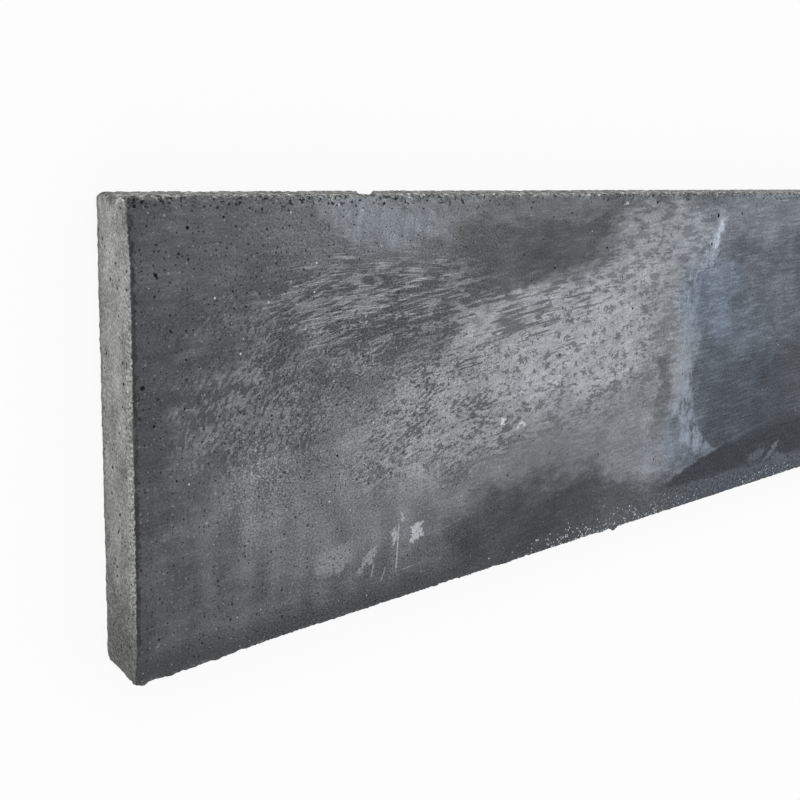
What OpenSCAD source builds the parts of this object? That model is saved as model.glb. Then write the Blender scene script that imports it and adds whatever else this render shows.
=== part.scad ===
// Cast concrete slab for the foot of a fence, lying flat with its smooth mould face up.
// X runs along the length, Y across the width and Z through the thickness.
// The origin is at the middle of the underside. All sizes are in millimetres.

/* [Slab] */
// Length, the way it runs between two posts
slab_length = 1840; // [600:10:3000]
// Width, which is its height when it stands on its long edge
slab_width = 260; // [150:5:500]
// Thickness from the back to the mould face
slab_thickness = 35; // [25:1:80]

/* [Arrises] */
// Chamfer round the smooth mould face
face_chamfer = 2.5; // [0.5:0.5:6]
// Radius round the back, where the wet concrete was struck off
back_radius = 4; // [1:0.5:8]
// Radius of the four upright corners
corner_radius = 2; // [0.5:0.5:6]

/* [Chip in the upper edge] */
// Distance from the left end to the middle of the chip, on the mould face
chip_from_end = 147; // [40:1:400]
// Length of the chip along the edge
chip_length = 12; // [4:0.5:20]
// Depth of the chip below the edge, halfway through the thickness
chip_depth = 3.4; // [1:0.2:5]
// Distance that the chip moves along the edge on its way through to the back
chip_slant = 28; // [0:1:40]
// Depth that it gains on the way
chip_drop = 2.8; // [0:0.2:4]

/* [Hidden] */
$fn = 64;
// Overlap of a cutting tool past the surface that it cuts
cut_over = 1;
// Slanting makes the round scoop longer along the edge by this factor
chip_stretch = sqrt(1 + pow(chip_slant / slab_thickness, 2));
// Radius of the round scoop that is chip_length long and chip_depth deep
chip_radius = (pow(chip_length / 2 / chip_stretch, 2) + chip_depth * chip_depth) / (2 * chip_depth);

// Section of one span: chamfered along the mould face, rounded along the back
module cast_section(span) {
    half = span / 2;
    union() {
        polygon([
            [-half, back_radius],
            [half, back_radius],
            [half, slab_thickness - face_chamfer],
            [half - face_chamfer, slab_thickness],
            [-half + face_chamfer, slab_thickness],
            [-half, slab_thickness - face_chamfer]
        ]);
        translate([-half + back_radius, 0])
            square([span - 2 * back_radius, 2 * back_radius]);
        for (side = [-1, 1])
            translate([side * (half - back_radius), back_radius])
                circle(r = back_radius);
    }
}

// Outline of the slab from above, with its upright corners rounded
module plan_outline() {
    inner_length = slab_length - 2 * corner_radius;
    inner_width = slab_width - 2 * corner_radius;
    union() {
        square([slab_length, inner_width], center = true);
        square([inner_length, slab_width], center = true);
        for (x = [-1, 1], y = [-1, 1])
            translate([x * inner_length / 2, y * inner_width / 2])
                circle(r = corner_radius);
    }
}

// The slab as it leaves the mould
module casting() {
    intersection() {
        rotate([90, 0, 90])
            translate([0, 0, -slab_length / 2])
                linear_extrude(slab_length)
                    cast_section(slab_width);
        rotate([90, 0, 0])
            translate([0, 0, -slab_width / 2])
                linear_extrude(slab_width)
                    cast_section(slab_length);
        linear_extrude(slab_thickness)
            plan_outline();
    }
}

// Scoop that broke out of the upper edge, aslant through the whole thickness
module edge_chip() {
    translate([
        -slab_length / 2 + chip_from_end + chip_slant / 2,
        slab_width / 2 + chip_radius - chip_depth,
        slab_thickness / 2
    ])
        rotate([-atan(chip_drop / slab_thickness), 0, 0])
            rotate([0, -atan(chip_slant / slab_thickness), 0])
                cylinder(r = chip_radius, h = 2 * (slab_thickness + chip_slant + cut_over), center = true);
}

module slab() {
    color("dimgray")
        difference() {
            casting();
            edge_chip();
        }
}

slab();
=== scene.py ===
import math
import random
from statistics import NormalDist

import bmesh
import bpy
from mathutils import Matrix, Vector, noise


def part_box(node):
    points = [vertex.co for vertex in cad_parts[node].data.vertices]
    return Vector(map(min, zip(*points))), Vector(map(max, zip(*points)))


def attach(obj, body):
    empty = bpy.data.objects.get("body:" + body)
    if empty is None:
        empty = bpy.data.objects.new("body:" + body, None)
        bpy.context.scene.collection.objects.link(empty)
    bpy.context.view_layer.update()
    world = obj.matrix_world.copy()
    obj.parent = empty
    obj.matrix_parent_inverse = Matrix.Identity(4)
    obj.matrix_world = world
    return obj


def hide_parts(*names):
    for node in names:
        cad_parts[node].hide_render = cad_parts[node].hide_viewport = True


# The slab lies on its back with the smooth mould face up.
# Places are in slab millimetres: along the length from the left end, across the width
# from the lower edge, and height above the floor.
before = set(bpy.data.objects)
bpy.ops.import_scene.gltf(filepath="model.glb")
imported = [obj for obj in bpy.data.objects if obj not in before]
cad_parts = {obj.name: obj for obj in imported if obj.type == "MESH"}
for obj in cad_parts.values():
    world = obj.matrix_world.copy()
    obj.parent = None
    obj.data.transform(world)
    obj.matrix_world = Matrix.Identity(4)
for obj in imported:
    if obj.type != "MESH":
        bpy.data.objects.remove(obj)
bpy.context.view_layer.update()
slabLow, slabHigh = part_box("slab")
mm = 0.001
slabSize = (slabHigh - slabLow) / mm
slabLength, slabWidth, slabThick = slabSize
print("frame loaded:", len(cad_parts), "node, in mm", [round(side, 1) for side in slabSize])


def framePoint(place):  # slab millimetres to metres in the frame
    return slabLow + Vector(place) * mm


def linkNew(name, data):
    piece = bpy.data.objects.new(name, data)
    bpy.context.scene.collection.objects.link(piece)
    return piece


# Camera
cameraSet = {
    "place": (-240.6, 297.1, 512.5),
    "aim": (180.9, 134.9, 35.0),  # on the mould face
    "roll": 2.67,  # degrees
    "lens": 47.9,
    "sensor": 36.0,
}


def placeCamera():
    place = framePoint(cameraSet["place"])
    forward = (framePoint(cameraSet["aim"]) - place).normalized()
    right = forward.cross(Vector((0, 1, 0))).normalized()
    level = Matrix((right, right.cross(forward), -forward)).transposed()
    turned = level @ Matrix.Rotation(math.radians(cameraSet["roll"]), 3, "Z")
    data = bpy.data.cameras.new("camera")
    data.lens = cameraSet["lens"]
    data.sensor_width = cameraSet["sensor"]
    camera = linkNew("camera", data)
    camera.matrix_world = Matrix.Translation(place) @ turned.to_4x4()
    bpy.context.scene.camera = camera
    bpy.context.scene.view_settings.view_transform = "Standard"
    print("camera placed")


class Wire:  # one output of a node, with operators that add Math nodes
    def __init__(self, net, socket):
        self.net = net
        self.socket = socket

    def math(self, operation, first, second=0.0):
        return self.net.add("ShaderNodeMath", {"operation": operation}, {0: first, 1: second})

    def __add__(self, other):
        return self.math("ADD", self, other)

    def __sub__(self, other):
        return self.math("SUBTRACT", self, other)

    def __rsub__(self, other):
        return self.math("SUBTRACT", other, self)

    def __mul__(self, other):
        return self.math("MULTIPLY", self, other)

    def __pow__(self, other):
        return self.math("POWER", self, other)

    def __abs__(self):
        return self.math("ABSOLUTE", self)

    __radd__ = __add__
    __rmul__ = __mul__

    def larger(self, other):
        return self.math("MAXIMUM", self, other)

    def smaller(self, other):
        return self.math("MINIMUM", self, other)

    def also(self, output):  # another output of the same node
        return Wire(self.net, self.socket.node.outputs[output])


class Net:  # a node tree, and the patterns that the finishes are made of
    def __init__(self, tree):
        self.tree = tree
        tree.nodes.clear()

    def add(self, kind, settings, sockets, output=0):
        node = self.tree.nodes.new(kind)
        for name, value in settings.items():
            setattr(node, name, value)
        for name, value in sockets.items():
            if isinstance(value, Wire):
                self.tree.links.new(value.socket, node.inputs[name])
            else:
                node.inputs[name].default_value = value
        return Wire(self, node.outputs[output]) if node.outputs else None

    def vector(self, operation, *sockets, output=0):
        settings = {"operation": operation}
        return self.add("ShaderNodeVectorMath", settings, dict(enumerate(sockets)), output)

    def part(self, vector, axis):
        return self.add("ShaderNodeSeparateXYZ", {}, {0: vector}, axis)

    def fade(self, value, low, high):  # 0 at low, 1 at high
        return self.add(
            "ShaderNodeMapRange",
            {"interpolation_type": "SMOOTHSTEP"},
            {"Value": value, "From Min": low, "From Max": high},
        )

    def within(self, value, low, lowFull, highFull, high):  # 1 between the two inner values
        return self.fade(value, low, lowFull) * self.fade(value, high, highFull)

    def mix(self, first, second, share):
        return first + (second - first) * share

    def mixVectors(self, first, second, share):
        settings = {"data_type": "VECTOR"}
        return self.add("ShaderNodeMix", settings, {0: share, 4: first, 5: second}, 1)

    def cloud(self, place, size, seed, detail=3.0, rough=0.55, output=0):  # noise around 0.5
        flat = len(size) == 2
        scale = [1 / side for side in size] + [0] * flat
        shift = (seed * 7.3, seed * 3.1, seed * 1.7)
        scaled = self.vector("MULTIPLY_ADD", place, scale, shift)
        settings = {"noise_dimensions": "2D" if flat else "3D"}
        sockets = {"Vector": scaled, "Scale": 1.0, "Detail": detail, "Roughness": rough}
        return self.add("ShaderNodeTexNoise", settings, sockets, output)

    def swing(self, place, size, seed, detail=3.0, rough=0.55):  # noise around 0, spread about 1
        return (self.cloud(place, size, seed, detail, rough) - 0.5) * 11

    def turned(self, place, degrees):
        sockets = {"Vector": place, "Angle": math.radians(-degrees)}
        return self.add("ShaderNodeVectorRotate", {"rotation_type": "Z_AXIS"}, sockets)

    def arcs(self, place, centre, radius):  # X runs along arcs round the centre, Y outwards
        moved = self.vector("SUBTRACT", place, (*centre, 0))
        moved = self.vector("MULTIPLY", moved, (1, 1, 0))
        away = self.vector("LENGTH", moved, output=1)
        upwards = self.part(moved, "Y")
        angle = upwards.math("ARCTAN2", upwards, self.part(moved, "X"))
        return self.add("ShaderNodeCombineXYZ", {}, {"X": angle * radius, "Y": away})

    def spot(self, place, centre, reach, turn=0.0, core=0.3):  # soft oval, 1 in its middle
        moved = self.vector("SUBTRACT", place, (*centre, 0))
        if turn:
            moved = self.turned(moved, turn)
        scaled = self.vector("MULTIPLY", moved, (1 / reach[0], 1 / reach[1], 0))
        return self.fade(self.vector("LENGTH", scaled, output=1), 1.0, core)

    def stroke(self, place, start, end, width):  # a rubbed line from start to end
        run = Vector(end) - Vector(start)
        ahead = run.normalized()
        moved = self.vector("SUBTRACT", place, (*start, 0))
        along = self.vector("DOT_PRODUCT", moved, (ahead.x, ahead.y, 0), output=1)
        aside = self.vector("DOT_PRODUCT", moved, (-ahead.y, ahead.x, 0), output=1)
        over = along - along.larger(0.0).smaller(run.length)
        away = (over * over + aside * aside) ** 0.5
        return self.fade(away, width * 0.6, width * 0.25)

    def dots(self, place, spacing, radius, share, seed, flat=False, soft=0.25):  # in that share of cells
        shift = (seed * 5.7, seed * 2.3, seed)
        scaled = self.vector("MULTIPLY_ADD", place, [1 / spacing] * 3, shift)
        settings = {"voronoi_dimensions": "2D" if flat else "3D", "feature": "F1"}
        away = self.add("ShaderNodeTexVoronoi", settings, {"Vector": scaled, "Scale": 1.0}, "Distance")
        draw = self.part(away.also("Color"), "X")
        kept = self.fade(draw - share, 0.005, -0.005)
        grown = draw.also("Y") * 0.8 + 0.45
        return self.fade(away - grown * (radius / spacing), soft / spacing, -soft / spacing) * kept


# Light and floor
lightSet = {
    "skyStrength": 0.68,
    "sunStrength": 1.1,
    "sunAngle": 60,  # degrees, wide for a soft shadow
    "sunFrom": (-0.55, 0.5, 1.0),
    "floorSide": 16.0,
    "floorColour": (0.93, 0.93, 0.93, 1),
    "floorGlow": 0.86,  # share of plain white that the eye sees on the floor
}


def seenByEye(net):  # 1 for rays from the camera, mirrors and glass
    names = ("Is Camera Ray", "Is Glossy Ray", "Is Transmission Ray")
    camera, mirror, glass = [net.add("ShaderNodeLightPath", {}, {}, name) for name in names]
    return camera.larger(mirror).larger(glass)


def setLight():
    world = bpy.data.worlds.new("paleSky")
    world.use_nodes = True
    bpy.context.scene.world = world
    net = Net(world.node_tree)
    strength = seenByEye(net) * (1 - lightSet["skyStrength"]) + lightSet["skyStrength"]
    sky = net.add("ShaderNodeBackground", {}, {"Color": (1, 1, 1, 1), "Strength": strength})
    net.add("ShaderNodeOutputWorld", {}, {"Surface": sky})
    data = bpy.data.lights.new("softSun", "SUN")
    data.energy = lightSet["sunStrength"]
    data.angle = math.radians(lightSet["sunAngle"])
    sun = linkNew("softSun", data)
    sun.rotation_mode = "QUATERNION"
    sun.rotation_quaternion = Vector(lightSet["sunFrom"]).to_track_quat("Z", "Y")
    print("light set")


def layFloor():
    bm = bmesh.new()
    bmesh.ops.create_grid(bm, x_segments=1, y_segments=1, size=lightSet["floorSide"] / 2)
    mesh = bpy.data.meshes.new("floor")
    bm.to_mesh(mesh)
    bm.free()
    material = bpy.data.materials.new("paleFloor")
    material.use_nodes = True
    net = Net(material.node_tree)
    paint = net.add("ShaderNodeBsdfDiffuse", {}, {"Color": lightSet["floorColour"]})
    white = net.add("ShaderNodeEmission", {}, {"Color": (1, 1, 1, 1), "Strength": 1.0})
    share = seenByEye(net) * lightSet["floorGlow"]
    seen = net.add("ShaderNodeMixShader", {}, {0: share, 1: paint, 2: white})
    net.add("ShaderNodeOutputMaterial", {}, {"Surface": seen})
    mesh.materials.append(material)
    floor = linkNew("floor", mesh)
    print("floor laid")


# Casting: the slab's shape with its worn arrises
castSet = {
    "fineEnd": 700,  # the steps along are short up to here, and long beyond
    "stepFine": 1.25,
    "stepLong": 5.0,
    "stepAcross": 15.0,
    "stepHeight": 3.0,
    "arrisCuts": (0.6, 1.3, 2.2, 3.4, 5.0),  # from every arris
    "faceRadius": 1.3,  # round the mould face
    "backRadius": 2.6,  # round the struck-off back
    "seamBelowFace": 4.6,  # hairline seam round the sides, left by the mould's rim
    "seamHalf": 0.4,  # half the width that is cut finely for it
    "seamDepth": 0.2,
    "crumbReach": 4.0,
    "crumbFine": 0.4,
    "crumbCoarse": 1.5,
    "faceWave": 0.12,
    "sideWave": 0.25,
    "backWave": 0.7,
    "topWave": 0.8,  # the upper edge was the open side of the mould
    "notch": {  # the chip through the upper edge
        "along": 147,
        "length": 12,
        "depth": 3.4,
        "slant": 28,
        "drop": 2.8,
    },
    "bites": (  # along, across, height, radius of a round scoop out of an arris
        (179, 263, 37.0, 4.6),
        (-1.0, -3.5, -1.0, 8.0),
        (-2.0, 262.0, 1.0, 5.4),
        (-2.4, 262.2, 18.0, 4.8),
        (-2.2, 261.5, 36.0, 3.6),
        (24, 262.0, 36.5, 3.4),
        (66, 262.4, 37.0, 3.8),
        (93, 262.0, 36.5, 3.2),
        (157, 262.2, 36.8, 3.4),
        (413, -2.6, 31.0, 3.5),
    ),
    "burrs": (  # along, half its width, how proud of the lower edge
        (30, 70, 2.2), (413, 5.0, 2.6), (6, 6.0, 2.0), (22, 4.0, 0.8),
        (398, 7.0, 1.2), (52, 3.5, 1.1), (290, 6.0, 0.8),
    ),
    "biteReach": 12,  # no scoop reaches further along
    "looseBites": 90,  # more scoops at chance places
    "smallBites": 110,  # small ones along the upper arris, where the steps are short
    "seed": 11,
    "sharpAngle": 38,  # degrees, steeper edges are shaded sharp
}


def ease(low, high, value):
    t = min(max((value - low) / (high - low), 0), 1)
    return t * t * (3 - 2 * t)


def lumps(point, size, octaves=3):  # noise of about -1 to 1
    return noise.fractal(point / size, 0.9, 2.0, octaves)


def scoops():  # every round scoop as its centre and radius
    draw = random.Random(castSet["seed"])
    found = [(Vector(bite[:3]), bite[3]) for bite in castSet["bites"]]
    for count in range(castSet["looseBites"]):
        radius = draw.uniform(1.6, 4.5) + 2 * draw.random() ** 4
        out = radius * draw.uniform(0.5, 0.72)
        along = draw.uniform(15, slabLength - 15)
        across = draw.choice((-out, slabWidth + out))
        height = draw.choice((slabThick + out * 0.8, slabThick + out * 0.8, -out * 0.8))
        found.append((Vector((along, across, height)), radius))
    for count in range(castSet["smallBites"]):
        radius = draw.uniform(1.3, 2.8)
        out = radius * draw.uniform(0.2, 0.6)
        along = draw.uniform(3, castSet["fineEnd"])
        height = slabThick + out * draw.uniform(-1.5, 0.8)
        found.append((Vector((along, slabWidth + out, height)), radius))
    return found


def crumbDepth(point):  # how much an arris has crumbled away, rougher along the upper and lower edges
    nearTop = ease(12, 4, slabWidth - point.y)
    nearFoot = ease(12, 4, point.y)
    endFoot = ease(12, 4, point.x) * ease(16, 6, point.z)
    rough = 1 + nearTop + 1.6 * nearFoot + endFoot + 1.8 * nearTop * ease(20, 28, point.z)
    crumb = castSet["crumbFine"] * rough * (0.2 + 0.7 * lumps(point, 2.2))
    patchy = ease(-0.1, 0.5, lumps(point + Vector((300, 0, 0)), 60))
    coarse = max(0, lumps(point + Vector((0, 40, 90)), 7) - 0.15)
    return crumb + castSet["crumbCoarse"] * (0.3 + patchy) * coarse


def surfaceDip(point, onFace):  # how far a side lies below the flat box
    onBack = ease(0.4, 0, point.z)
    onTop = ease(slabWidth - 0.4, slabWidth, point.y) * ease(0, 6, slabLength - point.x)
    wave = castSet["sideWave"] * (1 + lumps(point, 45)) / 2
    wave += castSet["topWave"] * max(0, 0.35 + lumps(point, 3.6)) * onTop
    wave += (castSet["faceWave"] * (1 + lumps(point, 130)) / 2 - wave) * onFace
    wave += (castSet["backWave"] * (1 + lumps(point, 38)) / 2 - wave) * onBack
    seam = castSet["seamDepth"] * ease(0.7, 0.1, abs(point.z - slabThick + castSet["seamBelowFace"]))
    return wave, seam * (1 - onFace)


def wornPlace(point, bites):  # a point of the sharp box, moved to where the worn slab has it
    radius = castSet["backRadius"]
    radius += (castSet["faceRadius"] - radius) * ease(9, 26, point.z)
    inner = Vector(min(max(c, radius), side - radius) for c, side in zip(point, slabSize))
    out = (point - inner).normalized()
    worn = inner + out * radius
    depths = sorted(min(c, side - c) for c, side in zip(point, slabSize))
    atArris = ease(castSet["crumbReach"], 0, depths[1])
    onFace = ease(slabThick - 0.4, slabThick, point.z)
    crumb = crumbDepth(point)
    wave, seam = surfaceDip(point, onFace)
    worn -= out * (crumb * atArris + wave + seam)
    broken = atArris * min(max(crumb, 0), 1)
    for along, halfWidth, proud in castSet["burrs"]:
        rise = ease(halfWidth, 0, abs(point.x - along)) * ease(5, 0, point.y)
        worn.y -= proud * rise * ease(20, 29, point.z) * ease(slabThick + 3, slabThick - 2, point.z)
    for centre, reach in bites:
        away = worn - centre
        ragged = reach * (1 + 0.2 * lumps(point, 3.5))
        if away.length < ragged:
            broken = max(broken, min(1, ragged - away.length))
            worn = centre + away.normalized() * ragged
    return worn, broken


def notchPlace(point):  # the scoop that goes aslant right through the upper edge
    notch = castSet["notch"]
    stretch = math.hypot(1, notch["slant"] / slabThick)
    half, depth = notch["length"] / 2 / stretch, notch["depth"]
    radius = (half * half + depth * depth) / (2 * depth)
    down = 1 - point.z / slabThick
    centre = Vector((
        notch["along"] + notch["slant"] * down,
        slabWidth + radius - depth - notch["drop"] * (down - 0.5),
        point.z,
    ))
    away = point - centre
    away.x /= stretch
    ragged = radius + 0.3 * lumps(point, 4)
    if away.length >= ragged:
        return point, 0
    depthIn = min(1, ragged - away.length)
    away = away.normalized() * ragged
    away.x *= stretch
    return centre + away, depthIn


def cutBox():  # the slab's box, cut into a grid that is fine near the arrises
    bm = bmesh.new()
    bmesh.ops.create_cube(bm, size=1, matrix=Matrix.Translation(Vector((0.5, 0.5, 0.5))))
    bmesh.ops.scale(bm, vec=slabSize, verts=bm.verts)

    def cutAcross(axis, offset):
        normal = Vector(1 if i == axis else 0 for i in range(3))
        whole = bm.verts[:] + bm.edges[:] + bm.faces[:]
        bmesh.ops.bisect_plane(bm, geom=whole, plane_co=normal * offset, plane_no=normal)

    def divide(axis, low, high, step):  # even cuts between two planes that are cut already
        def spans(edge):
            ends = sorted(vert.co[axis] for vert in edge.verts)
            return abs(ends[0] - low) < 0.01 and abs(ends[1] - high) < 0.01

        cuts = round((high - low) / step) - 1
        edges = [edge for edge in bm.edges if spans(edge)]
        bmesh.ops.subdivide_edges(bm, edges=edges, cuts=cuts, use_grid_fill=True)

    fineEnd = castSet["fineEnd"]
    cutAcross(0, fineEnd)
    divide(0, 0, fineEnd, castSet["stepFine"])
    divide(0, fineEnd, slabLength, castSet["stepLong"])
    for near in castSet["arrisCuts"]:
        for axis in range(3):
            cutAcross(axis, near)
            cutAcross(axis, slabSize[axis] - near)
    seamHalf = castSet["seamHalf"]
    for near in (-seamHalf, 0, seamHalf):
        cutAcross(2, slabThick - castSet["seamBelowFace"] + near)
    inmost = castSet["arrisCuts"][-1]
    divide(1, inmost, slabWidth - inmost, castSet["stepAcross"])
    divide(2, inmost, slabThick - castSet["seamBelowFace"] - seamHalf, castSet["stepHeight"])

    def atEnd(edge):  # long edges of the grid on the two ends
        first, second = [vert.co for vert in edge.verts]
        near = max(min(spot.x, slabLength - spot.x) for spot in (first, second))
        return near < castSet["arrisCuts"][1] + 0.1 and abs(first.y - second.y) > 6

    ends = [edge for edge in bm.edges if atEnd(edge)]
    bmesh.ops.subdivide_edges(bm, edges=ends, cuts=5, use_grid_fill=True)
    return bm


def castSlab():
    bm = cutBox()
    brokenShare = bm.verts.layers.float.new("broken")
    bm.faces.layers.float.new("airHole")
    bites = scoops()
    for vert in bm.verts:
        near = [bite for bite in bites if abs(bite[0].x - vert.co.x) < castSet["biteReach"]]
        worn, broken = wornPlace(vert.co, near)
        worn, snapped = notchPlace(worn)
        worn.z = min(max(worn.z, 0), slabThick)
        vert.co = framePoint(worn)
        vert[brokenShare] = max(broken, snapped)
    mesh = bpy.data.meshes.new("concreteSlab")
    bm.to_mesh(mesh)
    bm.free()
    print("slab cast:", len(mesh.polygons), "faces")
    return linkNew("concreteSlab", mesh)


# Air holes: the larger bubbles that burst at the mould face
holeSet = {
    "known": (  # along, across, width
        (7, 164, 2.6), (15, 221, 2.2), (33, 244, 2.0), (28, 231, 1.6), (507, 242, 3.0), (54, 249, 1.5),
        (81, 242, 1.4), (4, 255, 2.0), (8, 257, 1.8), (23, 192, 1.4), (32, 176, 1.4), (31, 150, 1.5),
        (26, 111, 1.2), (316, 210, 1.9), (288, 251, 1.6), (425, 253, 2.0), (502, 220, 2.2), (541, 243, 2.0),
    ),
    "loose": 90,  # more of them at chance places
    "looseWidths": (0.9, 1.9),  # least and greatest
    "squat": 0.8,  # height by width
    "seed": 5,
}


def addHole(bm, place, width):
    shape = Matrix.Translation(framePoint(place)) @ Matrix.Diagonal((1, 1, holeSet["squat"], 1))
    bmesh.ops.create_icosphere(bm, subdivisions=2, radius=width * mm / 2, matrix=shape)


def burstAirHoles(slab):
    draw = random.Random(holeSet["seed"])
    bm = bmesh.new()
    for along, across, width in holeSet["known"]:
        addHole(bm, (along, across, slabThick - 0.1), width)
    for count in range(holeSet["loose"]):
        along, across = draw.uniform(8, slabLength - 8), draw.uniform(8, slabWidth - 8)
        height = draw.uniform(6, slabThick - 6)
        onMould, onBack = (along, across, slabThick - 0.1), (along, across, 0.4)
        onFoot, onEnd = (along, 0.2, height), (0.2, across, height)
        place = draw.choice((onMould, onMould, onBack, onFoot, onFoot, onEnd))
        addHole(bm, place, draw.uniform(*holeSet["looseWidths"]))
    inside = bm.faces.layers.float.new("airHole")
    for face in bm.faces:
        face[inside] = 1.0
    mesh = bpy.data.meshes.new("airHoles")
    bm.to_mesh(mesh)
    bm.free()
    mesh.materials.append(slab.data.materials[0])
    bubbles = linkNew("airHoles", mesh)
    cut = slab.modifiers.new("airHoles", "BOOLEAN")
    cut.operation = "DIFFERENCE"
    cut.solver = "MANIFOLD"
    cut.object = bubbles
    bpy.context.view_layer.objects.active = slab
    bpy.ops.object.modifier_apply(modifier=cut.name)
    bpy.data.objects.remove(bubbles)
    print("air holes burst:", len(slab.data.polygons), "faces")


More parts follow.
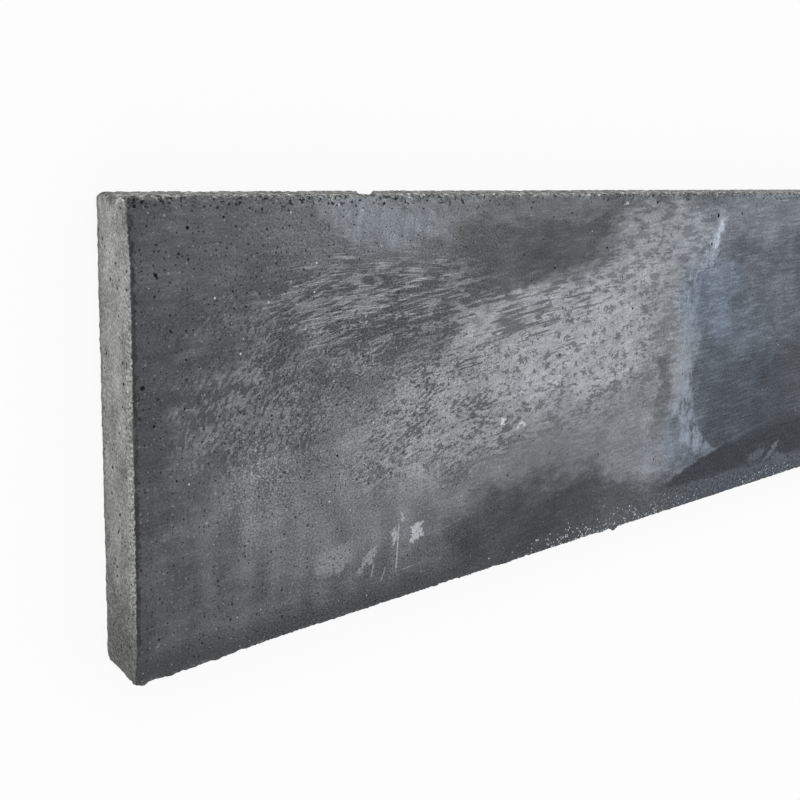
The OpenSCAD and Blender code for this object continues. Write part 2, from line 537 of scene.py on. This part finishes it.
# Finish of the mould face: tones are brightness as the eye reads it, from 0 to 1
mouldSet = {
    # mean tone, how much paler the film is than the ground, and the share that it covers
    "bare": (0.335, 0.035, 0.5),
    "zones": (  # centre, reach, turn, core, and the three values as above
        ((52, 238), (75, 40), 0, 0.3, (0.368, 0.035, 0.5)),  # pitted, upper left
        ((150, 90), (165, 104), 0, 0.2, (0.455, 0.03, 0.5)),  # dry bloom, lower left
        ((2, 110), (40, 190), 0, 0.3, (0.308, 0.025, 0.5)),  # dark margin
        ((70, 6), (130, 34), 2, 0.3, (0.345, 0.02, 0.5)),  # damp foot, left
        ((78, 147), (70, 62), -10, 0.35, (0.388, 0.14, 0.5)),  # flakes on the left
        ((52, 190), (42, 22), -10, 0.3, (0.335, 0.05, 0.5)),  # dark, above the flakes
        ((150, 226), (85, 24), 0, 0.3, (0.392, 0.06, 0.5)),  # pale, below the cloud
        ((172, 195), (150, 30), 0, 0.35, (0.388, 0.165, 0.42)),  # upper streaks
        ((150, 166), (40, 18), -4, 0.3, (0.400, 0.16, 0.34)),  # dark gap under them
        ((350, 78), (215, 46), 4, 0.3, (0.462, 0.04, 0.5)),  # grey below the film
        ((420, 74), (62, 40), 0, 0.3, (0.500, 0.05, 0.5)),  # paler to the right
        ((237, 130), (116, 64), 14, 0.42, (0.525, 0.22, 0.74)),  # film, worn on the left
        ((360, 154), (138, 76), 6, 0.42, (0.632, 0.21, 0.94)),  # film, at its thickest
        ((288, 182), (78, 23), 7, 0.4, (0.558, 0.21, 0.66)),  # film, wiped into streaks
        ((276, 99), (30, 18), 10, 0.3, (0.545, 0.20, 0.75)),  # film, hanging down
        ((463, 140), (57, 92), 0, 0.3, (0.550, 0.12, 0.60)),  # film thins out
        ((457, 100), (19, 54), 0, 0.3, (0.415, 0.05, 0.5)),  # darker, left of the band
        ((448, 224), (104, 46), 0, 0.45, (0.555, 0.13, 0.68)),  # thin film above
        ((405, 201), (72, 17), 3, 0.3, (0.600, 0.17, 0.78)),  # upper border of the film
        ((270, 227), (106, 21), -2, 0.6, (0.338, 0.04, 0.3)),  # dark stretch
        ((300, 253), (138, 15), 0, 0.4, (0.424, 0.04, 0.5)),  # paler strip above it
        ((305, 22), (112, 52), 3, 0.45, (0.280, 0.03, 0.5)),  # damp foot, middle
        ((590, 165), (125, 100), 0, 0.25, (0.412, 0.06, 0.5)),  # plain, right
        ((622, 76), (140, 70), 0, 0.4, (0.312, 0.03, 0.5)),  # darker towards the foot
        ((580, 246), (130, 34), 0, 0.3, (0.490, 0.05, 0.5)),  # pale strip, upper right
        ((521, 182), (38, 58), 0, 0.3, (0.470, 0.06, 0.5)),  # paler and blue beside the band, painted sky sheen
        ((460, 52), (58, 36), 0, 0.3, (0.510, 0.05, 0.5)),  # foot of the band
    ),
    "skySheens": (  # centre, reach, how blue: painted sky sheen
        ((165, 246), (90, 34), 0.35),
        ((560, 110), (95, 110), 0.9),
        ((515, 175), (60, 60), 1.0),
        ((505, 60), (60, 50), 0.8),
    ),
    "flows": (  # centre of the wiping arcs, mean radius, length and width of a flake
        ((272, 5), 215, (4.6, 2.3)),
        ((330, -250), 400, (5.2, 2.0)),
        ((420, -1200), 1350, (9.0, 2.6)),
        ((255, -260), 450, (29, 2.1)),
    ),
    # soft ovals: centre, reach, and where needed turn and core
    "spotted": ((360, 150), (155, 74), 5, 0.5),
    # painted sky sheen: the pale cloud near the top
    "cloud": ((160, 251), (112, 40), -7, 0.0),
    "scratched": ((150, 203), (140, 52), 0, 0.2),
    "grainy": ((140, 130), (115, 85)),
    "netted": ((497, 213), (36, 30)),
    # where the grains get painted highlights
    "granular": ((81, 97), (36, 44), 0, 0.2),
    "pitted": ((55, 236), (75, 45), 0, 0.3),
    "crumbsLeft": ((405, 0), (145, 70), 0, 0.4),
    "crumbsRight": ((630, 0), (55, 70), 0, 0.4),
    "cloudTone": 0.525,
    "bandTone": 0.545,
    "bandRight": 492,  # right border of the pale band
    "flare": 50,  # it runs out this far
    "flareFrom": 44,  # at this height above the lower edge
    "flareFade": 28,
    "wedgeTone": 0.238,
    "wedgeTops": (24, 44, 50),  # height of the dark wedge at its left, middle and right
    "rimTone": 0.35,  # granular strip below the wedge
    "arrisShadeTone": 0.19,  # painted shade along the left arris
    "dampTone": 0.26,
    # painted shade along the lower rim
    "footShadeTone": 0.28,
    # painted shade in the cavities along the top
    "cavityShadeTone": 0.12,
    # painted shade in the small pits
    "pitShadeTone": 0.11,
    "fleckTone": 0.68,
    "crumbTone": 0.84,
    "grain": 0.019,
    "scuffs": (  # centre, reach, turn, tone: places where it was rubbed white
        ((182, 45), (4, 4.5), 0, 0.66),
        ((187, 57), (2.6, 5), 10, 0.64),
        ((160, 34), (13, 4), 42, 0.55),
        ((133, 40), (17, 12), 10, 0.52),
        ((276, 107), (3.6, 3.2), 30, 0.82),
        ((293, 102), (4.2, 2.8), 10, 0.80),
        ((613, 27), (19, 7), 14, 0.37),
        ((652, 18), (18, 7), -16, 0.37),
        ((388, 253), (3, 2), 0, 0.74),
        ((180, 257.5), (2.2, 2.2), 0, 0.74),
    ),
    "thinStroke": 3,  # narrower strokes are scratches, straight and broken up
    "strokes": (  # start, end, width, tone: rubbed and scratched lines
        ((197.5, 40), (199, 47), 6.5, 0.75),
        ((202, 42), (203.5, 49), 5.5, 0.73),
        ((184, 12), (185, 52), 1.5, 0.66),
        ((163, 19), (166, 33), 1.6, 0.58),
        ((172, 17), (175, 25), 1.4, 0.54),
        ((190, 20), (205, 21.5), 1.4, 0.50),
        ((12, 17), (17, 22), 1.4, 0.56),
        ((628, 20), (648.5, 33.5), 5.0, 0.43),
        ((513, 239), (504, 210), 17.0, 0.62),
        ((514, 238), (509, 220), 8.5, 0.78),
        ((416, 238), (415, 189), 1.0, 0.42),
        ((478, 203), (478, 172), 2.4, 0.64),
        ((384, 115), (400, 119), 5.0, 0.42),
        ((511, 262), (512, 252), 1.6, 0.20),
        ((154, 177), (156.5, 169), 0.9, 0.54),
        ((156.5, 169), (155, 161), 0.9, 0.54),
    ),
}


def zoneValues(mean, contrast, share):  # tone of the ground, tone of the film, level that share needs
    return mean - contrast * share, mean + contrast * (1 - share), NormalDist().inv_cdf(share)


def wanderedPlace(net, place):  # so that borders of zones are uneven
    coarse = net.cloud(place, (70, 55), seed=1, detail=2, rough=0.5, output="Color")
    fine = net.cloud(place, (14, 8), seed=2, detail=2, rough=0.65, output="Color")
    moved = net.vector("MULTIPLY_ADD", coarse, (40, 32, 0), place)
    moved = net.vector("MULTIPLY_ADD", fine, (40, 22, 0), moved)
    return net.vector("SUBTRACT", moved, (40, 27, 0))


def wipedFlakes(net, place, along, across):  # noise drawn out along the way the film was wiped
    left, middle, spots, level = [
        net.swing(net.arcs(place, centre, radius), flake, seed=31 + count, detail=3, rough=0.66)
        for count, (centre, radius, flake) in enumerate(mouldSet["flows"])
    ]
    rising = net.swing(net.turned(place, 7), (40, 2.4), seed=36, detail=3, rough=0.6)
    blotchy = net.swing(place, (17, 4.6), seed=37, detail=2, rough=0.62)
    wobble = net.swing(place, (18, 12), seed=38, detail=2) * 9
    wobbled = along + wobble
    flakes = net.mix(left, middle, net.fade(wobbled, 136, 146))
    flakes = net.mix(flakes, spots, net.fade(wobbled, 242, 264))
    streaks = net.mix(level, rising, net.fade(wobbled, 215, 230))
    lower = net.fade(along, 200, 250) * 20  # the streaks reach further down there
    top = net.fade(across + wobble + lower, 172, 182) * net.fade(along, 60, 110)
    flakes = net.mix(flakes, streaks, top * net.fade(wobbled, 390, 360))
    plain = net.fade(across + wobble, 206, 216).larger(net.fade(wobbled, 432, 446))
    return net.mix(flakes, blotchy, plain), plain


def filmSpots(net, drift, loose):  # round dark spots in the thick film
    flat = net.vector("MULTIPLY", loose, (0.72, 1, 1))
    large = net.dots(flat, 7.2, 1.9, share=0.6, seed=39, flat=True, soft=0.45)
    small = net.dots(flat, 3.3, 0.8, share=0.5, seed=40, flat=True, soft=0.3)
    return large.larger(small) * net.spot(drift, *mouldSet["spotted"]) * 0.95


def filmTone(net, place, drift, loose, along, across):  # film with dark flakes rubbed out of it
    zone = zoneValues(*mouldSet["bare"])
    for centre, reach, turn, core, values in mouldSet["zones"]:
        zone = net.mixVectors(zone, zoneValues(*values), net.spot(drift, centre, reach, turn, core))
    ground = net.part(zone, "X")
    film, level = ground.also("Y"), ground.also("Z")
    flakes, plain = wipedFlakes(net, place, along, across)
    patchy = net.swing(place, (26, 15), seed=3, detail=2, rough=0.5)
    soft = plain * 0.7 + 0.36
    covered = net.fade(flakes + level + patchy * 0.5, 0 - soft, soft)
    covered = covered * (1 - filmSpots(net, drift, loose))

    pepper = net.swing(place, (2.2, 1.3), seed=45, detail=2, rough=0.7)
    smear = net.swing(net.turned(place, 14), (13, 4.5), seed=19, detail=1, rough=0.6)
    streaky = (film - ground) * (smear * 0.08 + pepper * 0.12)
    mottle = net.swing(place, (34, 22), seed=5, detail=2, rough=0.6)
    tone = net.mix(ground, film + streaky, covered) + mottle * 0.012
    brush = net.swing(net.turned(place, 3), (30, 1.3), seed=4, detail=1, rough=0.6)
    tone = tone + brush * (covered * 0.008 + net.fade(along, 440, 520) * 0.010 + 0.001)
    bloom = net.swing(place, (150, 80), seed=10, detail=2, rough=0.55)  # plain and cloudy further along
    tone = tone + (bloom * 0.03 + 0.06) * net.fade(along, 650, 850)
    return tone, covered


def lipWidth(net, across):  # the left arris has lost its mould skin
    return net.within(across, 2, 18, 225, 246) * 1.1


def skySheenAndBands(net, place, drift, along, across, tone):  # pale cloud of painted sky sheen near the top, and faint upright bands at the foot
    drips = net.swing(place, (6, 22), seed=14, detail=2, rough=0.6)
    wisps = net.swing(net.turned(place, -32), (26, 8), seed=52, detail=3, rough=0.65)
    # painted sky sheen: a pale cloud near the top
    cloud = net.spot(drift, *mouldSet["cloud"])
    cloud = (cloud * 1.2 + wisps * cloud * 0.19).smaller(1.0)
    tone = net.mix(tone, drips * 0.018 + mouldSet["cloudTone"], cloud)
    bands = net.swing(place, (17, 80), seed=15, detail=1, rough=0.5)
    return tone + bands * 0.014 * net.fade(across, 130, 80) * net.fade(along, 250, 200)


def thinScratches(net, place, drift, tone):
    scratches = net.swing(net.arcs(place, (150, -400), 600), (26, 0.8), seed=9, detail=1, rough=0.6)
    often = net.spot(drift, *mouldSet["scratched"])
    return tone + net.fade(scratches + often * 1.2, 2.1, 3.0) * often * 0.15


def paleBand(net, along, across, uneven, tone):  # sharp on its right, where the foot runs out
    s = mouldSet
    border = across.math("EXPONENT", (across - s["flareFrom"]) * (-1 / s["flareFade"]))
    border = border * s["flare"] + s["bandRight"]
    gap = along - border + uneven * (net.fade(across, 80, 150) * 2 + 1.4)
    width = net.fade(across, 175, 110) * 13 + 12
    band = net.fade(gap, 2.5, -2.5) * net.fade(gap + width, -8, 4) * net.within(across, 34, 54, 195, 216)
    pale = net.fade(across, 150, 110) * 0.035 + s["bandTone"]
    return net.mix(tone, uneven * 0.03 + pale, band * net.fade(uneven, -2.2, 0.2) * 0.8)


def darkWedge(net, place, along, across, uneven, tone):  # at the foot, with a pale line over it
    s = mouldSet
    left, middle, right = s["wedgeTops"]
    border = net.fade(along, 455, 560) * (middle - left) + net.fade(along, 560, 690) * (right - middle)
    edge = across + uneven * 0.5
    over = edge - (border + left)
    soft = net.fade(along, 540, 640) * 12 + 1.2
    wedge = net.fade(over, soft, -1.5) * net.within(along, 452, 494, 700, 900)
    tone = net.mix(tone, s["wedgeTone"], wedge)
    line = net.fade(abs(over - 2.5), 2.2, 0.6) * net.within(along, 462, 480, 540, 575)
    tone = tone + line * 0.04
    sand = net.swing(place, (3, 2.2), seed=46, detail=2, rough=0.8)
    rim = net.fade(edge, 23, 16) * net.fade(along, 400, 500) * 0.8
    return net.mix(tone, sand * 0.05 + s["rimTone"], rim)


def darkMargins(net, place, along, across, tone):  # left arris, damp foot, and cavities along the top, with painted shade along the arris, the lower rim and in the cavities
    s = mouldSet
    ragged = net.swing(place, (5, 5), seed=7, detail=1, rough=0.6) * 0.5
    # painted shade: a dark ragged line along the left arris
    leftLine = net.fade(along + ragged - lipWidth(net, across), 3.6, 1.6) * 0.8
    tone = net.mix(tone, s["arrisShadeTone"], leftLine)
    damp = net.fade(across + ragged, 22, 3) * net.fade(along, 330, 200) * 0.75
    tone = net.mix(tone, s["dampTone"], damp)
    # painted shade along the lower rim
    tone = net.mix(tone, s["footShadeTone"], net.fade(across + ragged, 4.5, 2) * 0.5)
    upper = net.fade(across, slabWidth - 13, slabWidth - 3)
    cavities = net.swing(place, (4.6, 3.2), seed=49, detail=2, rough=0.65)
    cavities = cavities - net.fade(along, 90, 260) * 0.5
    # painted shade: dark specks in the cavities along the upper arris
    return net.mix(tone, s["cavityShadeTone"], net.fade(cavities + upper * 0.9, 2.0, 2.5) * upper * 0.9)


def stainTone(net, place, drift, along, across, tone):
    uneven = net.swing(place, (11, 15), seed=6, detail=2, rough=0.65)
    tone = skySheenAndBands(net, place, drift, along, across, tone)
    tone = thinScratches(net, place, drift, tone)
    tone = paleBand(net, along, across, uneven, tone)
    tone = darkWedge(net, place, along, across, uneven, tone)
    return darkMargins(net, place, along, across, tone)


def scuffTone(net, place, tone):
    rough = net.swing(place, (2.4, 1.8), seed=16, detail=2, rough=0.75)
    breaks = net.swing(place, (9, 9), seed=47, detail=1, rough=0.6)
    wander = net.cloud(place, (7, 7), seed=17, detail=2, rough=0.65, output="Color")
    near = net.vector("MULTIPLY_ADD", wander, (12, 12, 0), place)
    near = net.vector("SUBTRACT", near, (6, 6, 0))
    for centre, reach, turn, pale in mouldSet["scuffs"]:
        rubbed = net.spot(near, centre, reach, turn, core=0.55) * net.fade(rough, -2.0, -0.2)
        tone = net.mix(tone, pale, rubbed)
    for start, end, width, pale in mouldSet["strokes"]:
        thin = width < mouldSet["thinStroke"]
        rubbed = net.stroke(place if thin else near, start, end, width)
        if thin:
            rubbed = rubbed * net.fade(breaks, -0.8, 0.6)
        tone = net.mix(tone, pale, rubbed * net.fade(rough, -2.8, -0.6) * 0.85)
    return tone


def grainTone(net, place, drift, loose, along, tone):
    s = mouldSet
    fine = net.swing(place, (1.3, 1.1), seed=8, detail=2, rough=0.7)
    coarse = net.swing(place, (2.4, 1.8), seed=50, detail=2, rough=0.75)
    grain = net.mix(fine, coarse, net.fade(along, 240, 460))
    strength = net.fade(along, 20, 120) * 0.018 - net.fade(along, 220, 330) * 0.012 + s["grain"]
    strength = strength - net.fade(along, 440, 600) * 0.002 + net.spot(place, *s["grainy"]) * 0.014
    cells = net.swing(place, (5, 3.6), seed=51, detail=2, rough=0.65) * net.spot(drift, *s["netted"])
    tone = tone + grain * strength + cells * 0.03
    granular = net.spot(loose, *s["granular"])
    # painted highlights: the grains of the granular zone are brightened
    return tone + granular * (net.fade(grain, 0.2, 2.2) * 0.11 + 0.02), fine


def speckTone(net, place, along, across, tone):  # air pits, pale flecks, and crumbs along the lower rim
    s = mouldSet
    often = net.spot(place, *s["pitted"]).larger(net.fade(along, 280, 90) * 0.6)
    nearTop = net.fade(across, slabWidth - 9, slabWidth - 3)
    smallPits = net.dots(place, 3.2, 0.40, often * 0.34 + nearTop * 0.08 + 0.05, seed=24, flat=True)
    largePits = net.dots(place, 9.0, 0.62, often * 0.3 + nearTop * 0.15 + 0.08, seed=25, flat=True)
    pits = smallPits.larger(largePits)
    flecks = net.dots(place, 4.6, 0.42, often * 0.42 + 0.06, seed=26, flat=True)
    chips = net.dots(place, 16.0, 0.5, often * 0.25 + 0.04, seed=30, flat=True)
    ragged = net.swing(place, (12, 9), seed=20, detail=1) * 3
    rim = net.spot(place, *s["crumbsLeft"]) + net.spot(place, *s["crumbsRight"])
    rim = rim * net.fade(across + ragged, 15, 1)
    crumbs = net.dots(place, 2.2, 0.6, rim * 0.62, seed=27, flat=True)
    # painted shade: the pits are darkened
    tone = net.mix(tone, s["pitShadeTone"], pits * 0.75)
    tone = net.mix(tone, s["fleckTone"], flecks * 0.5)
    return net.mix(tone, s["crumbTone"], crumbs.larger(chips) * 0.9), pits


def skySheenShare(net, drift, along, across):  # painted sky sheen, bluer to the right and towards the foot
    blue = net.fade(along, 200, 440) * 0.14 + net.fade(along, 440, 540) * 0.3
    blue = blue + net.fade(across, 110, 40) * 0.07 + 0.1
    for centre, reach, strength in mouldSet["skySheens"]:
        blue = net.mix(blue, strength, net.spot(drift, centre, reach))
    return blue


def mouldTone(net, place):
    along = net.part(place, "X")
    across = along.also("Y")
    drift = wanderedPlace(net, place)
    wander = net.cloud(place, (3.8, 3.0), seed=23, detail=1, rough=0.5, output="Color")
    loose = net.vector("MULTIPLY_ADD", wander, (9, 7, 0), place)
    tone, covered = filmTone(net, place, drift, loose, along, across)
    tone = stainTone(net, place, drift, along, across, tone)
    tone = scuffTone(net, place, tone)
    tone, grain = grainTone(net, place, drift, loose, along, tone)
    tone, pits = speckTone(net, place, along, across, tone)
    relief = grain * 0.02 - pits * 0.4
    return tone, skySheenShare(net, drift, along, across), relief, covered


# Finish of the sides and the back
sideSet = {
    # paler than the mould face: partly the sides' own colour, partly painted light on the ends
    "tone": 0.575,
    "lowShadeTone": 0.515,  # towards the lower edge: painted shade of the ground, with damp staining
    "footShadeTone": 0.39,  # darker still at the lower edge where it stood: painted shade of the ground, with damp staining
    "backTone": 0.46,
    "stripTone": 0.58,  # crumbly strip next to the mould face
    "longTone": 0.52,  # the long edges
    "cornerTone": 0.40,  # upper corners of the ends
    # painted shade in the pits
    "pitShadeTone": 0.18,
    "grain": 0.06,
}


def sideTone(net, place):
    s = sideSet
    along = net.part(place, "X")
    across, height = along.also("Y"), along.also("Z")
    blotch = net.swing(place, (14, 22, 14), seed=13, detail=2, rough=0.6)
    drips = net.swing(place, (3, 30, 11), seed=18, detail=2, rough=0.7)
    long = net.within(along, 1.5, 4, slabLength - 4, slabLength - 1.5)
    # painted shade with damp staining: the sides darken towards the lower edge
    end = net.mix(s["lowShadeTone"], s["tone"], net.fade(across, 70, 190)) + drips * 0.02
    tone = net.mix(end, drips * 0.045 + s["longTone"], long) + blotch * 0.028
    # painted shade with damp staining at the lower edge
    tone = net.mix(tone, blotch * 0.01 + s["footShadeTone"], net.fade(across + blotch * 4, 64, 24))
    tone = net.mix(tone, s["backTone"], net.fade(height, 6, 2))
    strip = net.fade(height, slabThick - 5.5, slabThick - 4.0) * net.within(across, 25, 60, 190, 225)
    grain = net.swing(place, (1.6, 1.4, 1.4), seed=12, detail=2, rough=0.75)
    tone = net.mix(tone, grain * 0.065 + s["stripTone"], strip * 0.8)
    corner = net.fade(across + blotch * 2, slabWidth - 6, slabWidth - 2) * net.fade(height, 24, 14)
    tone = net.mix(tone, s["cornerTone"], corner * (1 - long))
    pits = net.dots(place, 4.6, 0.9, share=0.6, seed=28)
    # painted shade: the pits are darkened
    tone = net.mix(tone + grain * s["grain"], s["pitShadeTone"], pits * 0.8)
    return tone, grain * 0.06


# Concrete: the two finishes in one material
finishSet = {
    "neutral": (0.985, 1.0, 1.02, 1),
    # blue of the painted sky sheen on the mould face
    "blue": (0.825, 1.0, 1.235, 1),
    "warm": (1.0, 1.0, 0.98, 1),  # the sides
    "brokenTone": 0.44,
    # painted shade: tone that the inside of the air holes is darkened to
    "holeShadeTone": 0.13,
    "leastTone": 0.05,
    "eyeGamma": 2.2,  # from brightness as the eye reads it to light
    "sideRoughness": 0.92,
    "bareRoughness": 0.74,  # the mould face
    "filmRoughness": 0.16,  # added by the film
    "specular": 0.22,
    "faceBorder": (1.9, 1.2),  # the mould skin sets in between these depths below the face
}


def concreteFinish():
    s = finishSet
    material = bpy.data.materials.new("anthraciteConcrete")
    material.use_nodes = True
    net = Net(material.node_tree)
    metres = net.add("ShaderNodeTexCoord", {}, {}, "Object")
    moved = net.vector("SUBTRACT", metres, slabLow)
    place = net.vector("MULTIPLY", moved, (1 / mm,) * 3)
    height = net.part(place, "Z")
    across, along = height.also("Y"), height.also("X")

    # where the mould skin is whole
    below, above = [slabThick - depth for depth in s["faceBorder"]]
    crumbly = net.swing(place, (2.4, 2.2, 5.0), seed=42, detail=2, rough=0.7)
    ragged = crumbly * 0.25
    onFace = net.fade(height + ragged, below, above)
    onFace = onFace * net.fade(along + ragged - lipWidth(net, across), 0.1, 0.8)
    frayed = net.swing(place, (6, 40), seed=53, detail=2, rough=0.6) * 0.7 + crumbly * 0.8
    onFace = onFace * net.fade(slabWidth - across + frayed, 0.9, 1.7)

    faceTone, faceSkySheen, faceRelief, covered = mouldTone(net, place)
    edgeTone, edgeRelief = sideTone(net, place)
    atTop = net.fade(across, slabWidth - 7, slabWidth - 2)
    nearFace = net.fade(height, slabThick - 14, slabThick - 3)
    # grain with painted light and shade: along the upper edge the crumbs are speckled pale and dark, as lit
    # facets and shaded pits
    speckled = edgeTone + crumbly * (atTop * (nearFace * 0.12 + 0.06) + 0.01)
    tone = net.mix(speckled, faceTone + crumbly * atTop * 0.03, onFace)
    broken = net.add("ShaderNodeAttribute", {"attribute_name": "broken"}, {}, "Fac")
    tone = net.mix(tone, crumbly * 0.15 + s["brokenTone"], broken * 0.75)
    airHole = net.add("ShaderNodeAttribute", {"attribute_name": "airHole"}, {}, "Fac")
    # painted shade darkens the inside of the air holes
    tone = net.mix(tone, s["holeShadeTone"], airHole)

    settings = {"data_type": "RGBA"}
    # painted sky sheen tints the mould face blue
    tint = net.add("ShaderNodeMix", settings, {0: faceSkySheen, 6: s["neutral"], 7: s["blue"]}, 2)
    tint = net.add("ShaderNodeMix", settings, {0: onFace, 6: s["warm"], 7: tint}, 2)
    light = tone.larger(s["leastTone"]) ** s["eyeGamma"]
    colour = net.add("ShaderNodeVectorMath", {"operation": "SCALE"}, {0: tint, "Scale": light})
    relief = net.mix(edgeRelief, faceRelief, net.fade(height, below, above))
    normal = net.add("ShaderNodeBump", {}, {"Strength": 1.0, "Distance": mm, "Height": relief})
    faceRoughness = covered * s["filmRoughness"] + s["bareRoughness"]
    surface = net.add(
        "ShaderNodeBsdfPrincipled",
        {},
        {
            "Base Color": colour,
            "Roughness": net.mix(s["sideRoughness"], faceRoughness, onFace),
            "Specular IOR Level": s["specular"],
            "Normal": normal,
        },
    )
    net.add("ShaderNodeOutputMaterial", {}, {"Surface": surface})
    print("finish made:", len(material.node_tree.nodes), "nodes")
    return material


placeCamera()
setLight()
layFloor()
slab = castSlab()
slab.data.materials.append(concreteFinish())
burstAirHoles(slab)
slab.data.shade_smooth()
slab.data.set_sharp_from_angle(angle=math.radians(castSet["sharpAngle"]))
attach(slab, "root")
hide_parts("slab")
